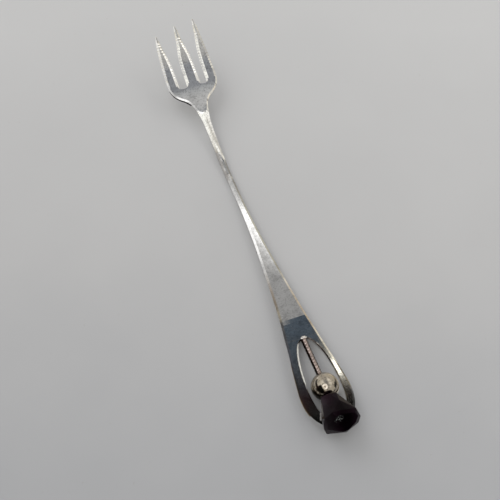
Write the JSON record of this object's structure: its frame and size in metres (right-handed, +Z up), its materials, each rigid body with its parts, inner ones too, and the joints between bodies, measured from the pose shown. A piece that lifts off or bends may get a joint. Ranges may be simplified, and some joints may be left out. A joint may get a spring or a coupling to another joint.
{
  "type": "oyster fork",
  "caption": "Slender table fork with notched tines, bevelled handle and a pierced loop framing a thistle with wire stem, round bead and faceted dark stone.",
  "frame": {"origin": "middle of the bounding box, on the table that the fork lies on", "axes": "+Y along the fork toward the tines, +Z up out of its face"},
  "size_m": [0.0162, 0.146, 0.0154],
  "materials": {
    "blank_silver": "polished",
    "stem_silver": "satin",
    "bead_silver": "polished",
    "cement": "matte",
    "stone": "polished"
  },
  "bodies": {
    "root": {"fork_blank": "blank_silver", "thistle_stem": "stem_silver", "bead_front_half": "bead_silver", "bead_rear_half": "bead_silver", "stone_cement": "cement", "thistle_stone": "stone"}
  },
  "joints": []
}
